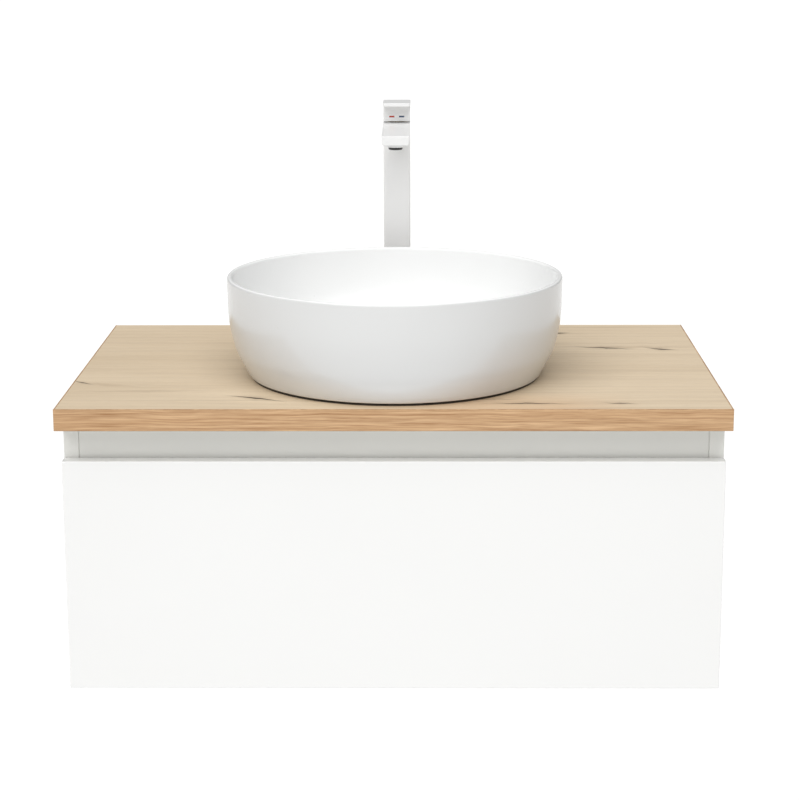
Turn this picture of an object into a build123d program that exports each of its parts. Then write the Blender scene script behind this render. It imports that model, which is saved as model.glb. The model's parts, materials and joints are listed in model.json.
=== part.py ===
"""Wall-hung vanity: oak-look worktop, one drawer, round vessel basin and tall mixer tap.

Millimetres. +X is to the right, -Y to the front and +Z up. The origin is the centre of
the back face of the rear hanging rail, so the wall is the plane Y = 0.
"""
from build123d import *
import os
from math import radians, tan

os.makedirs("parts", exist_ok=True)

# ---- driving dimensions: worktop ----
worktop_width = 800
worktop_depth = 500
board_thickness = 25.6
laminate_thickness = 0.8
edging_thickness = 2
waste_hole_radius = 25
tap_hole_radius = 16

# ---- driving dimensions: cabinet ----
cabinet_width = 790
cabinet_height = 312
cabinet_depth = 465
panel_thickness = 18
bottom_thickness = 16
hanging_rail_height = 100
lower_rail_height = 80
stretcher_depth = 80
reveal_height = 41
rail_setback = 1
front_rail_height = 80
front_drop = 15
wall_hole_spacing = 600
wall_hole_radius = 4.5

# ---- driving dimensions: drawer and runners ----
front_thickness = 18
front_gap = 2
box_thickness = 15
box_bottom_thickness = 12
box_bottom_lift = 4
box_height = 165
box_depth = 400
runner_gap = 12.7
runner_length = 400
runner_height = 45
runner_metal = 1.2
cutout_half_width = 65
cutout_front_reach = 63
trap_cover_thickness = 3

# ---- driving dimensions: basin, waste and trap ----
basin_radius = 210
basin_base_radius = 184
basin_height = 127
basin_from_wall = 302
basin_seal_thickness = 1.5
rim_thickness = 6.5
basin_floor = 20
waste_tube_radius = 21
waste_flange_radius = 33
pipe_radius = 16
pipe_wall = 2
trap_outlet_below_worktop = 161.4

# ---- driving dimensions: tap ----
tap_from_wall = 45
column_width = 36
column_depth = 38
body_height = 292.2
spout_reach = 150
spout_tip_top = 287.5
spout_bottom = 275.5
handle_bottom = 294
block_top = 315.6
handle_top = 319.8
plate_overhang = 19
lift_pivot = 273
lift_angle = 20
aerator_from_tip = 15

# ---- levels and lines worked out from them ----
cabinet_top = hanging_rail_height / 2
cabinet_bottom = cabinet_top - cabinet_height
board_top = cabinet_top + board_thickness
worktop_top = board_top + laminate_thickness
worktop_thickness = worktop_top - cabinet_top
sheet_half = worktop_width / 2 - edging_thickness
outer_half = cabinet_width / 2
inner_half = outer_half - panel_thickness
carcass_front = -cabinet_depth
front_back_face = carcass_front - front_gap
front_face = front_back_face - front_thickness
front_bottom = cabinet_bottom - front_drop
front_top = cabinet_top - reveal_height
rail_face = carcass_front + rail_setback
stretcher_front = rail_face + panel_thickness
basin_y = -basin_from_wall
tap_y = -tap_from_wall
box_outer_half = inner_half - runner_gap
box_inner_half = box_outer_half - box_thickness
box_bottom = cabinet_bottom + bottom_thickness + box_bottom_lift
box_top = box_bottom + box_height
box_floor = box_bottom + box_bottom_thickness
box_front = front_back_face + box_thickness
box_back = front_back_face + box_depth
cutout_front = basin_y - cutout_front_reach
runner_z = (box_bottom + box_top) / 2
edge_break = 0.6


def at_basin(height):
    """Horizontal plane on the basin's axis, a height above the worktop."""
    return Plane(origin=(0, basin_y, worktop_top + height))


def at_tap(height):
    """Horizontal plane on the tap's axis, a height above the worktop."""
    return Plane(origin=(0, tap_y, worktop_top + height))


def block(low, high):
    """Add the rectangular block between two opposite corners to the part being built."""
    with Locations(tuple((a + b) / 2 for a, b in zip(low, high))):
        Box(*(b - a for a, b in zip(low, high)))


def break_edges(builder, size=edge_break):
    """Take the sharpness off every outer edge of a plain board."""
    chamfer(builder.edges(), length=size)


def drill(mouths, out, radius, depth):
    """Blind or through holes, from each mouth against the outward direction."""
    for mouth in mouths:
        with Locations(Plane(origin=mouth, z_dir=out)):
            Hole(radius, depth)


def tube_between(lower, upper, outer_radius, inner_radius=0):
    """Add an upright ring or disc between two heights above the worktop, on the basin's axis."""
    with BuildSketch(at_basin(lower)) as ring:
        Circle(outer_radius)
        if inner_radius:
            Circle(inner_radius, mode=Mode.SUBTRACT)
    extrude(ring.sketch, amount=upper - lower)


def tap_ring(lower, upper, outer_radius, inner_radius=0):
    """Add an upright ring or disc between two heights above the worktop, on the tap's axis."""
    with BuildSketch(at_tap(lower)) as ring:
        Circle(outer_radius)
        if inner_radius:
            Circle(inner_radius, mode=Mode.SUBTRACT)
    extrude(ring.sketch, amount=upper - lower)


def rod(radius, length, mode=Mode.ADD):
    """Add or cut a cylinder that starts on the current place's plane and runs along its axis."""
    Cylinder(radius, length, mode=mode, align=(Align.CENTER, Align.CENTER, Align.MIN))


# ---- shared fastener places ----
dowel_radius = 4
dowel_play = 0.05
dowel_in_side = 12
dowel_in_board = 18
dowel_end_gap = 0.5
hanging_rail_y = -panel_thickness / 2
lower_rail_top = cabinet_bottom + bottom_thickness + lower_rail_height
stretcher_back = stretcher_front + stretcher_depth
bottom_z = cabinet_bottom + bottom_thickness / 2
stretcher_z = cabinet_top - panel_thickness / 2
bottom_dowels = [(y, bottom_z) for y in (-420, -240, -60)]
hanging_dowels = [(hanging_rail_y, z) for z in (-30, 30)]
lower_dowels = [(hanging_rail_y, lower_rail_top - lower_rail_height / 2 + step) for step in (-22, 22)]
stretcher_dowels = [(stretcher_front + step, stretcher_z) for step in (20, 60)]
front_rail_dowels = [(rail_face + panel_thickness / 2, cabinet_top - step) for step in (34, 62)]
all_dowels = bottom_dowels + hanging_dowels + lower_dowels + stretcher_dowels + front_rail_dowels

screw_radius = 1.75
screw_play = 0.05
screw_head_radius = 3.6
screw_head = 1.8
screw_length = 14
bracket_ys = (-330, -120)
bracket_width = 20
bracket_leg = 22
bracket_metal = 2
bracket_screw_reach = 13
runner_screw_ys = (-430, -270, -110)
plate_width = 60
plate_height = 50
plate_metal = 3
plate_screw_step = 22

bracket_places = [(side, y) for side in (-1, 1) for y in bracket_ys]
worktop_screw_points = [(side * (inner_half - bracket_screw_reach), y) for side, y in bracket_places]
bracket_side_z = cabinet_top - bracket_screw_reach
runner_screw_places = [(side, y) for side in (-1, 1) for y in runner_screw_ys]
wall_holes = [(side * wall_hole_spacing / 2, 0) for side in (-1, 1)]
plate_screw_points = [(x + step, 0) for x, z in wall_holes for step in (-plate_screw_step, plate_screw_step)]


def worktop_sheet(lower, thickness):
    """Add one sheet of the worktop, inside its edge bands, with the waste and tap holes."""
    with BuildSketch(Plane.XY.offset(lower)) as sheet:
        with Locations((0, (-worktop_depth + edging_thickness) / 2)):
            Rectangle(2 * sheet_half, worktop_depth - edging_thickness)
        with Locations((0, basin_y)):
            Circle(waste_hole_radius, mode=Mode.SUBTRACT)
        with Locations((0, tap_y)):
            Circle(tap_hole_radius, mode=Mode.SUBTRACT)
    extrude(sheet.sketch, amount=thickness)


# ---- worktop ----
with BuildPart() as worktop_board:
    worktop_sheet(cabinet_top, board_thickness)
    drill([(x, y, cabinet_top) for x, y in worktop_screw_points], (0, 0, -1),
          screw_radius + screw_play, screw_length)

with BuildPart() as worktop_top_laminate:
    worktop_sheet(board_top, laminate_thickness)

with BuildPart() as worktop_front_edging:
    block((-worktop_width / 2, -worktop_depth, cabinet_top),
          (worktop_width / 2, -worktop_depth + edging_thickness, worktop_top))
    front_edges = worktop_front_edging.faces().sort_by(Axis.Y)[0].edges()
    chamfer(front_edges, length=edge_break)

with BuildPart() as worktop_side_edgings:
    for side in (-1, 1):
        inner, outer = sorted((side * sheet_half, side * worktop_width / 2))
        block((inner, -worktop_depth + edging_thickness, cabinet_top), (outer, 0, worktop_top))
    end_faces = worktop_side_edgings.faces().group_by(Axis.X)
    chamfer((end_faces[0] + end_faces[-1]).edges().filter_by(Axis.Y), length=edge_break)


# ---- cabinet boards ----
def side_panel(side):
    """Side board with blind dowel holes and screw holes in its inner face."""
    with BuildPart() as board:
        low_x, high_x = sorted((side * inner_half, side * outer_half))
        block((low_x, carcass_front, cabinet_bottom), (high_x, 0, cabinet_top))
        break_edges(board)
        drill([(side * inner_half, y, z) for y, z in all_dowels], (-side, 0, 0),
              dowel_radius + dowel_play, dowel_in_side)
        drill([(side * inner_half, y, bracket_side_z) for y in bracket_ys], (-side, 0, 0),
              screw_radius + screw_play, screw_length)
        drill([(side * inner_half, y, runner_z) for y in runner_screw_ys], (-side, 0, 0),
              screw_radius + screw_play, screw_length)
    return board


left_side_panel = side_panel(-1)
right_side_panel = side_panel(1)


def end_dowel_holes(points):
    """Blind dowel holes in both ends of a board that spans the cabinet."""
    for side in (-1, 1):
        drill([(side * inner_half, y, z) for y, z in points], (side, 0, 0),
              dowel_radius + dowel_play, dowel_in_board)


with BuildPart() as bottom_panel:
    block((-inner_half, carcass_front, cabinet_bottom),
          (inner_half, 0, cabinet_bottom + bottom_thickness))
    end_dowel_holes(bottom_dowels)

with BuildPart() as rear_hanging_rail:
    block((-inner_half, -panel_thickness, cabinet_top - hanging_rail_height),
          (inner_half, 0, cabinet_top))
    end_dowel_holes(hanging_dowels)
    drill([(x, 0, z) for x, z in wall_holes], (0, 1, 0), wall_hole_radius, panel_thickness)
    drill([(x, -panel_thickness, z) for x, z in plate_screw_points], (0, -1, 0),
          screw_radius + screw_play, screw_length)

with BuildPart() as rear_lower_rail:
    block((-inner_half, -panel_thickness, cabinet_bottom + bottom_thickness),
          (inner_half, 0, lower_rail_top))
    end_dowel_holes(lower_dowels)

with BuildPart() as front_stretcher:
    block((-inner_half, stretcher_front, cabinet_top - panel_thickness),
          (inner_half, stretcher_back, cabinet_top))
    end_dowel_holes(stretcher_dowels)

# Front rail: the board seen between the worktop and the top of the drawer front.
with BuildPart() as front_rail:
    block((-inner_half, rail_face, cabinet_top - front_rail_height),
          (inner_half, stretcher_front, cabinet_top))
    break_edges(front_rail)
    end_dowel_holes(front_rail_dowels)

with BuildPart() as carcass_dowels:
    for side in (-1, 1):
        for y, z in all_dowels:
            with Locations(Plane(origin=(side * (inner_half - dowel_in_board + dowel_end_gap), y, z),
                                 z_dir=(side, 0, 0))):
                rod(dowel_radius, dowel_in_side + dowel_in_board - 2 * dowel_end_gap)

with BuildPart() as wall_fixing_plates:
    for x, z in wall_holes:
        block((x - plate_width / 2, -panel_thickness - plate_metal, z - plate_height / 2),
              (x + plate_width / 2, -panel_thickness, z + plate_height / 2))
    plate_front = -panel_thickness - plate_metal
    drill([(x, plate_front, z) for x, z in wall_holes], (0, -1, 0), wall_hole_radius, plate_metal)
    drill([(x, plate_front, z) for x, z in plate_screw_points], (0, -1, 0),
          screw_radius + screw_play, plate_metal)

with BuildPart() as worktop_brackets:
    for side, y in bracket_places:
        inner, outer = sorted((side * inner_half, side * (inner_half - bracket_metal)))
        block((inner, y - bracket_width / 2, cabinet_top - bracket_leg),
              (outer, y + bracket_width / 2, cabinet_top))
        inner, outer = sorted((side * inner_half, side * (inner_half - bracket_leg)))
        block((inner, y - bracket_width / 2, cabinet_top - bracket_metal),
              (outer, y + bracket_width / 2, cabinet_top))
    drill([(x, y, cabinet_top - bracket_metal) for x, y in worktop_screw_points], (0, 0, -1),
          screw_radius + screw_play, bracket_metal)
    for side, y in bracket_places:
        drill([(side * (inner_half - bracket_metal), y, bracket_side_z)], (-side, 0, 0),
              screw_radius + screw_play, bracket_metal)


def pan_screw(seat, out, shank=screw_length, shank_radius=screw_radius, head_radius=screw_head_radius):
    """Add a pan-head screw: the seat is the middle of its head's underside."""
    with Locations(Plane(origin=seat, z_dir=out)):
        Cylinder(head_radius, screw_head, align=(Align.CENTER, Align.CENTER, Align.MIN))
        Cylinder(shank_radius, shank, align=(Align.CENTER, Align.CENTER, Align.MAX))


with BuildPart() as cabinet_screws:
    for x, y in worktop_screw_points:
        pan_screw((x, y, cabinet_top - bracket_metal), (0, 0, -1))
    for side, y in bracket_places:
        pan_screw((side * (inner_half - bracket_metal), y, bracket_side_z), (-side, 0, 0))
    for side, y in runner_screw_places:
        pan_screw((side * (inner_half - runner_metal), y, runner_z), (-side, 0, 0))
    for x, z in plate_screw_points:
        pan_screw((x, -panel_thickness - plate_metal, z), (0, -1, 0))

# ---- runners: three nested channels on each side ----
runner_back = front_back_face + front_gap + runner_length
member_play = 3
web_play = 3.4


def channel_member(wall, opening, half_height, reach):
    """Add a C-shaped runner member: a web on its wall line and two flanges towards its opening."""
    low_y, high_y = runner_back - runner_length, runner_back
    for side in (-1, 1):
        inner, outer = sorted((side * wall, side * (wall + opening * runner_metal)))
        block((inner, low_y, runner_z - half_height), (outer, high_y, runner_z + half_height))
        for lip in (-1, 1):
            tip_x = sorted((side * wall, side * (wall + opening * reach)))
            lip_z = sorted((runner_z + lip * half_height, runner_z + lip * (half_height - runner_metal)))
            block((tip_x[0], low_y, lip_z[0]), (tip_x[1], high_y, lip_z[1]))


middle_half = runner_height / 2 - runner_metal - member_play
drawer_member_half = middle_half - runner_metal - member_play

with BuildPart() as runner_cabinet_members:
    channel_member(inner_half, -1, runner_height / 2, runner_gap - 2)
    for side, y in runner_screw_places:
        drill([(side * (inner_half - runner_metal), y, runner_z)], (-side, 0, 0),
              screw_radius + screw_play, runner_metal)

with BuildPart() as runner_middle_members:
    channel_member(inner_half - runner_metal - web_play, -1, middle_half, runner_gap / 2)

with BuildPart() as runner_drawer_members:
    channel_member(box_outer_half, 1, drawer_member_half, runner_gap / 2 - 1)

# ---- drawer ----
front_screw_points = [(x, z) for x in (-300, -110, 110, 300) for z in (box_bottom + 35, box_top - 30)]
front_screw_length = 27
front_screw_radius = 2
front_edge_round = 1.2

with BuildPart() as drawer_front:
    # hangs below the cabinet, where fingers hook behind its lower edge
    block((-outer_half, front_face, front_bottom), (outer_half, front_back_face, front_top))
    fillet(drawer_front.edges(), radius=front_edge_round)
    drill([(x, front_back_face, z) for x, z in front_screw_points], (0, 1, 0),
          front_screw_radius + screw_play, front_screw_length - box_thickness)

with BuildPart() as drawer_inner_front:
    block((-box_outer_half, front_back_face, box_bottom), (box_outer_half, box_front, box_top))
    drill([(x, box_front, z) for x, z in front_screw_points], (0, 1, 0),
          front_screw_radius + screw_play, box_thickness)

with BuildPart() as drawer_front_screws:
    for x, z in front_screw_points:
        pan_screw((x, box_front, z), (0, 1, 0), front_screw_length, front_screw_radius)


with BuildPart() as drawer_sides:
    for side in (-1, 1):
        inner, outer = sorted((side * box_inner_half, side * box_outer_half))
        block((inner, box_front, box_bottom), (outer, box_back, box_top))
    chamfer(drawer_sides.faces().group_by(Axis.Z)[-1].edges().filter_by(Axis.Y), length=edge_break)

with BuildPart() as drawer_backs:
    # two equal boards, one on each side of the trap cover
    back_inner = cutout_half_width + trap_cover_thickness
    for side in (-1, 1):
        inner, outer = sorted((side * back_inner, side * box_inner_half))
        block((inner, box_back - box_thickness, box_floor), (outer, box_back, box_top))
    chamfer(drawer_backs.faces().group_by(Axis.Z)[-1].edges().filter_by(Axis.X), length=edge_break)

cover_corner = 20


def cutout_outline(grow):
    """Add the plan of the trap cut-out, open to the back, grown outwards by a wall."""
    half = cutout_half_width + grow
    front = cutout_front - grow
    corner = cover_corner + grow
    with BuildLine() as outline:
        FilletPolyline((-half, box_back), (-half, front), (half, front), (half, box_back), radius=corner)
        Line((half, box_back), (-half, box_back))
    make_face(outline.edges())


with BuildPart() as drawer_bottom:
    with BuildSketch(Plane.XY.offset(box_bottom)) as outer_plan:
        with Locations((0, (box_front + box_back) / 2)):
            Rectangle(2 * box_inner_half, box_back - box_front)
    extrude(amount=box_bottom_thickness)
    with BuildSketch(Plane.XY.offset(box_bottom)):
        cutout_outline(0)
    extrude(amount=box_bottom_thickness, mode=Mode.SUBTRACT)

with BuildPart() as drawer_trap_cover:
    with BuildSketch(Plane.XY.offset(box_floor)):
        cutout_outline(trap_cover_thickness)
    extrude(amount=box_top - box_floor)
    with BuildSketch(Plane.XY.offset(box_floor)):
        cutout_outline(0)
    extrude(amount=box_top - box_floor, mode=Mode.SUBTRACT)

# ---- basin: one turned profile, thin at the rim and thick at the foot ----
rim_round = 3
foot_inner_radius = 166
seal_outer_radius = basin_base_radius - 3
seal_width = 9
foot_recess = 3
drain_radius = 22.5
flange_recess_radius = waste_flange_radius + 1
flange_recess = 4
rim_inner_radius = basin_radius - rim_thickness
wall_start = (basin_radius - 0.6, 88)
wall_middle = (202, 41)
wall_end = (basin_base_radius, basin_seal_thickness)
floor_edge = (150, basin_floor + 7)
hollow_middle = (191, 53)
hollow_top = (rim_inner_radius, 112)

with BuildPart() as basin_bowl:
    with BuildSketch(Plane(origin=(0, basin_y, worktop_top), x_dir=(1, 0, 0), z_dir=(0, -1, 0))):
        with BuildLine():
            Line((basin_radius, basin_height - rim_round), wall_start)
            Spline(wall_start, wall_middle, wall_end, tangents=((-0.02, -1), (-0.62, -0.78)))
            Polyline(wall_end,
                     (foot_inner_radius, basin_seal_thickness),
                     (foot_inner_radius, basin_seal_thickness + foot_recess),
                     (drain_radius, basin_seal_thickness + foot_recess),
                     (drain_radius, basin_floor - flange_recess),
                     (flange_recess_radius, basin_floor - flange_recess),
                     (flange_recess_radius, basin_floor),
                     floor_edge)
            Spline(floor_edge, hollow_middle, hollow_top, tangents=((1, 0.08), (0.02, 1)))
            Line(hollow_top, (rim_inner_radius, basin_height - rim_round))
            RadiusArc((rim_inner_radius, basin_height - rim_round),
                      (rim_inner_radius + rim_round, basin_height), rim_round)
            Line((rim_inner_radius + rim_round, basin_height), (basin_radius - rim_round, basin_height))
            RadiusArc((basin_radius - rim_round, basin_height),
                      (basin_radius, basin_height - rim_round), rim_round)
        make_face()
    revolve(axis=Axis((0, basin_y, worktop_top), (0, 0, 1)))

with BuildPart() as basin_seal:
    tube_between(0, basin_seal_thickness, seal_outer_radius, seal_outer_radius - seal_width)

# ---- waste: flanged tube clamped through basin and worktop ----
gasket_thickness = 1.5
waste_tube_inner = 18.2
waste_tube_bottom = -75
back_gasket = 3
back_nut = 10
thread_play = 0.05
gasket_play = 0.3
back_gasket_radius = 33
back_nut_corner = 34
flange_round = 1
guide_ring = 2.2
guide_hub_radius = 8
guide_bar_width = 4
stem_radius = 4
stem_tail = 14
plug_radius = 31.5
plug_gap = 0.6
plug_thickness = 5
plug_round = 2.5
recess_floor = basin_floor - flange_recess
guide_low = -32
guide_high = -26

with BuildPart() as waste_top_gasket:
    tube_between(recess_floor, recess_floor + gasket_thickness,
                 waste_flange_radius - 1, waste_tube_radius + gasket_play)

with BuildPart() as waste_body:
    tube_between(waste_tube_bottom, basin_floor, waste_tube_radius, waste_tube_inner)
    tube_between(recess_floor + gasket_thickness, basin_floor, waste_flange_radius, waste_tube_inner)
    rim_edges = waste_body.edges().filter_by(GeomType.CIRCLE).group_by(Axis.Z)[-1]
    fillet(rim_edges.sort_by(SortBy.RADIUS)[-1], radius=flange_round)

with BuildPart() as waste_bottom_gasket:
    tube_between(-worktop_thickness - back_gasket, -worktop_thickness,
                 back_gasket_radius, waste_tube_radius + gasket_play)

with BuildPart() as waste_back_nut:
    with BuildSketch(at_basin(-worktop_thickness - back_gasket - back_nut)):
        RegularPolygon(back_nut_corner, 6)
        Circle(waste_tube_radius + thread_play, mode=Mode.SUBTRACT)
    extrude(amount=back_nut)

with BuildPart() as waste_guide:
    with BuildSketch(at_basin(guide_low)):
        Circle(waste_tube_inner - thread_play)
        Circle(waste_tube_inner - guide_ring, mode=Mode.SUBTRACT)
        Rectangle(2 * waste_tube_inner - guide_ring, guide_bar_width)
        Circle(guide_hub_radius)
        Circle(stem_radius + thread_play, mode=Mode.SUBTRACT)
    extrude(amount=guide_high - guide_low)

with BuildPart() as waste_plug_stem:
    tube_between(guide_low - stem_tail, basin_floor + plug_gap, stem_radius)

with BuildPart() as waste_plug_cap:
    tube_between(basin_floor + plug_gap, basin_floor + plug_gap + plug_thickness, plug_radius)
    top_edge = waste_plug_cap.edges().filter_by(GeomType.CIRCLE).sort_by(Axis.Z)[-1]
    fillet(top_edge, radius=plug_round)

# ---- bottle trap under the basin, with its outlet running back to the wall ----
trap_nut_radius = 29
trap_nut_top = waste_tube_bottom + 15
trap_nut_bottom = waste_tube_bottom - 13
trap_body_radius = 29
trap_body_inner = 26.5
trap_body_top = -128
trap_body_bottom = -200
trap_cup_radius = 33
trap_cup_bottom = -255
dip_tube_bottom = -235
spigot_radius = 20
spigot_end = 52
outlet_nut_radius = 25
outlet_nut_length = 26
socket_depth = 60
depth_mark = 2
depth_mark_cut = 0.3
cone_ring = 3
cap_thickness = 4
cup_wall = 3
cup_grip = 16
cup_round = 8
flute_centre = 0.6
nut_flute_radius = 2.2
nut_flutes = 12
cup_flute_radius = 2
cup_flutes = 16
outlet_nut_overlap = 18
outlet_z = worktop_top - trap_outlet_below_worktop
outlet_start = basin_y + spigot_end - 12

with BuildPart() as trap_inlet_nut:
    tube_between(trap_nut_bottom, trap_nut_top, trap_nut_radius, waste_tube_radius + thread_play)
    tube_between(trap_nut_bottom, waste_tube_bottom - cone_ring, trap_nut_radius, pipe_radius + thread_play)
    with BuildSketch(at_basin(trap_nut_bottom)):
        with PolarLocations(trap_nut_radius + flute_centre, nut_flutes):
            Circle(nut_flute_radius)
    extrude(amount=trap_nut_top - trap_nut_bottom, mode=Mode.SUBTRACT)

with BuildPart() as trap_inlet_pipe:
    tube_between(dip_tube_bottom, waste_tube_bottom - 1, pipe_radius, pipe_radius - pipe_wall)
    tube_between(waste_tube_bottom - cone_ring, waste_tube_bottom,
                 waste_tube_radius - gasket_play, pipe_radius - pipe_wall)


def outlet_cylinder(start_y, end_y, radius, mode=Mode.ADD):
    """Add or cut a level cylinder on the outlet's axis."""
    with Locations(Plane(origin=(0, start_y, outlet_z), z_dir=(0, 1, 0))):
        rod(radius, end_y - start_y, mode)


with BuildPart() as trap_body:
    tube_between(trap_body_bottom, trap_body_top, trap_body_radius)
    outlet_cylinder(basin_y, basin_y + spigot_end, spigot_radius)
    with BuildSketch(at_basin(trap_body_bottom)):
        Circle(trap_body_inner)
    extrude(amount=trap_body_top - trap_body_bottom - cap_thickness, mode=Mode.SUBTRACT)
    with BuildSketch(at_basin(trap_body_bottom)):
        Circle(pipe_radius + thread_play)
    extrude(amount=trap_body_top - trap_body_bottom, mode=Mode.SUBTRACT)
    outlet_cylinder(basin_y + spigot_radius, basin_y + spigot_end, pipe_radius + thread_play, Mode.SUBTRACT)

with BuildPart() as trap_cup:
    tube_between(trap_cup_bottom, trap_body_bottom + cup_grip, trap_cup_radius)
    fillet(trap_cup.edges().filter_by(GeomType.CIRCLE).sort_by(Axis.Z)[0], radius=cup_round)
    with BuildSketch(at_basin(trap_cup_bottom + cup_wall)):
        Circle(trap_body_radius + thread_play)
    extrude(amount=trap_body_bottom + cup_grip - trap_cup_bottom, mode=Mode.SUBTRACT)
    with BuildSketch(at_basin(trap_body_bottom)):
        with PolarLocations(trap_cup_radius + flute_centre, cup_flutes):
            Circle(cup_flute_radius)
    extrude(amount=cup_grip, mode=Mode.SUBTRACT)

with BuildPart() as trap_outlet_nut:
    nut_start = basin_y + spigot_end - outlet_nut_overlap
    nut_end = nut_start + outlet_nut_length
    outlet_cylinder(nut_start, nut_end, outlet_nut_radius)
    outlet_cylinder(nut_start, basin_y + spigot_end, spigot_radius + thread_play, Mode.SUBTRACT)
    outlet_cylinder(nut_start, nut_end, pipe_radius + thread_play, Mode.SUBTRACT)

with BuildPart() as trap_outlet_pipe:
    outlet_cylinder(outlet_start, -socket_depth - depth_mark, pipe_radius)
    outlet_cylinder(-socket_depth - depth_mark, -socket_depth, pipe_radius - depth_mark_cut)
    outlet_cylinder(-socket_depth, 0, pipe_radius)
    outlet_cylinder(outlet_start, 0, pipe_radius - pipe_wall, Mode.SUBTRACT)

# ---- tap body: a head with the flat spout, brazed on a hollow square column ----
column_foot = 1.2
hose_x = 7
hose_y = -4
hose_seat = 237
hose_thread_radius = 4.5
socket_radius = 6.4
socket_length = 12
head_bottom = hose_seat + socket_length
port_radius = 2
hose_ports = [(-hose_x, hose_y), (hose_x, hose_y)]
cartridge_floor = 254
cartridge_radius = 13
nut_radius = 14
nut_bottom = 284
wall_x = 3.5
wall_y = 3.5
stud_y = 9
stud_radius = 4
boss_top = 30
boss_wall = 1.5
stud_grip = 24
spout_underside_round = 3.5
spout_tip_round = 1
column_corner = 2.5
hollow_corner = 2
aerator_thread = 8
gasket_hole_radius = 15
aerator_y = -spout_reach + aerator_from_tip
aerator_radius = 10
waterway_z = 281.3
waterway_radius = 3.5

with BuildPart() as tap_body:
    # flat spout, rounded before it joins the column
    with BuildSketch(Plane(origin=(-column_width / 2, tap_y, worktop_top), x_dir=(0, 1, 0), z_dir=(1, 0, 0))):
        with BuildLine():
            Polyline((0, body_height),
                     (-column_depth / 2, body_height),
                     (-spout_reach, spout_tip_top),
                     (-spout_reach, spout_bottom),
                     (0, spout_bottom),
                     close=True)
        make_face()
    extrude(amount=column_width)
    underside = tap_body.faces().sort_by(Axis.Z)[0]
    fillet(underside.edges().filter_by(Axis.Y), radius=spout_underside_round)
    tip = tap_body.faces().sort_by(Axis.Y)[0]
    fillet(tip.edges(), radius=spout_tip_round)
    with BuildSketch(at_tap(head_bottom)):
        RectangleRounded(column_width, column_depth, column_corner)
    extrude(amount=body_height - head_bottom)
    # cartridge bore, its nut's thread, the two inlet ports and the waterway to the aerator
    with Locations(at_tap(cartridge_floor)):
        rod(cartridge_radius + thread_play, body_height, Mode.SUBTRACT)
    with Locations(at_tap(nut_bottom)):
        rod(nut_radius + thread_play, body_height, Mode.SUBTRACT)
    with Locations(at_tap(head_bottom)):
        with Locations(*hose_ports):
            rod(port_radius, cartridge_floor - head_bottom, Mode.SUBTRACT)
    with Locations(Plane(origin=(0, tap_y, worktop_top + waterway_z), z_dir=(0, -1, 0))):
        rod(waterway_radius, -aerator_y, Mode.SUBTRACT)
    with Locations(at_tap(spout_bottom)):
        with Locations((0, aerator_y)):
            rod(aerator_radius + thread_play, aerator_thread, Mode.SUBTRACT)

with BuildPart() as tap_column:
    with BuildSketch(at_tap(column_foot)):
        RectangleRounded(column_width, column_depth, column_corner)
        RectangleRounded(column_width - 2 * wall_x, column_depth - 2 * wall_y, hollow_corner,
                         mode=Mode.SUBTRACT)
    extrude(amount=head_bottom - column_foot)
    # boss for the fixing stud at the back of the foot
    boss_front = stud_y - stud_radius - boss_wall
    block((-column_width / 2 + wall_x, tap_y + boss_front, worktop_top + column_foot),
          (column_width / 2 - wall_x, tap_y + column_depth / 2 - wall_y, worktop_top + boss_top))
    with Locations(at_tap(column_foot)):
        with Locations((0, stud_y)):
            rod(stud_radius + thread_play, stud_grip, Mode.SUBTRACT)

# threaded sockets brazed under the head, one for each hose
with BuildPart() as tap_inlet_sockets:
    with Locations(at_tap(hose_seat)):
        with Locations(*hose_ports):
            rod(socket_radius, socket_length)
            rod(hose_thread_radius, socket_length, Mode.SUBTRACT)

with BuildPart() as tap_base_gasket:
    with BuildSketch(at_tap(0)):
        RectangleRounded(column_width + 2, column_depth + 2, column_corner)
        Circle(gasket_hole_radius, mode=Mode.SUBTRACT)
    extrude(amount=column_foot)

# ---- aerator under the spout's tip ----
aerator_flange_radius = 11
aerator_ring_bottom = 272.3
aerator_insert_bottom = 268.9
aerator_insert_radius = 9.2
aerator_engagement = 4
insert_engagement = 3
mesh_hole = 2.2
mesh_pitch = 3.2
mesh_depth = 1.5

with BuildPart() as tap_aerator_housing:
    with BuildSketch(at_tap(aerator_ring_bottom)):
        with Locations((0, aerator_y)):
            Circle(aerator_flange_radius)
    extrude(amount=spout_bottom - aerator_ring_bottom)
    fillet(tap_aerator_housing.edges().sort_by(Axis.Z)[0], radius=edge_break)
    with BuildSketch(at_tap(spout_bottom)):
        with Locations((0, aerator_y)):
            Circle(aerator_radius)
    extrude(amount=aerator_engagement)
    with BuildSketch(at_tap(aerator_ring_bottom)):
        with Locations((0, aerator_y)):
            Circle(aerator_insert_radius + thread_play)
    extrude(amount=10, mode=Mode.SUBTRACT)

with BuildPart() as tap_aerator_insert:
    with BuildSketch(at_tap(aerator_insert_bottom)):
        with Locations((0, aerator_y)):
            Circle(aerator_insert_radius)
    extrude(amount=spout_bottom + insert_engagement - aerator_insert_bottom)
    fillet(tap_aerator_insert.edges().sort_by(Axis.Z)[0], radius=1.6)
    with BuildSketch(at_tap(aerator_insert_bottom)):
        with Locations((0, aerator_y)):
            with GridLocations(mesh_pitch, mesh_pitch, 4, 4):
                Rectangle(mesh_hole, mesh_hole)
    extrude(amount=mesh_depth, mode=Mode.SUBTRACT)

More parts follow.
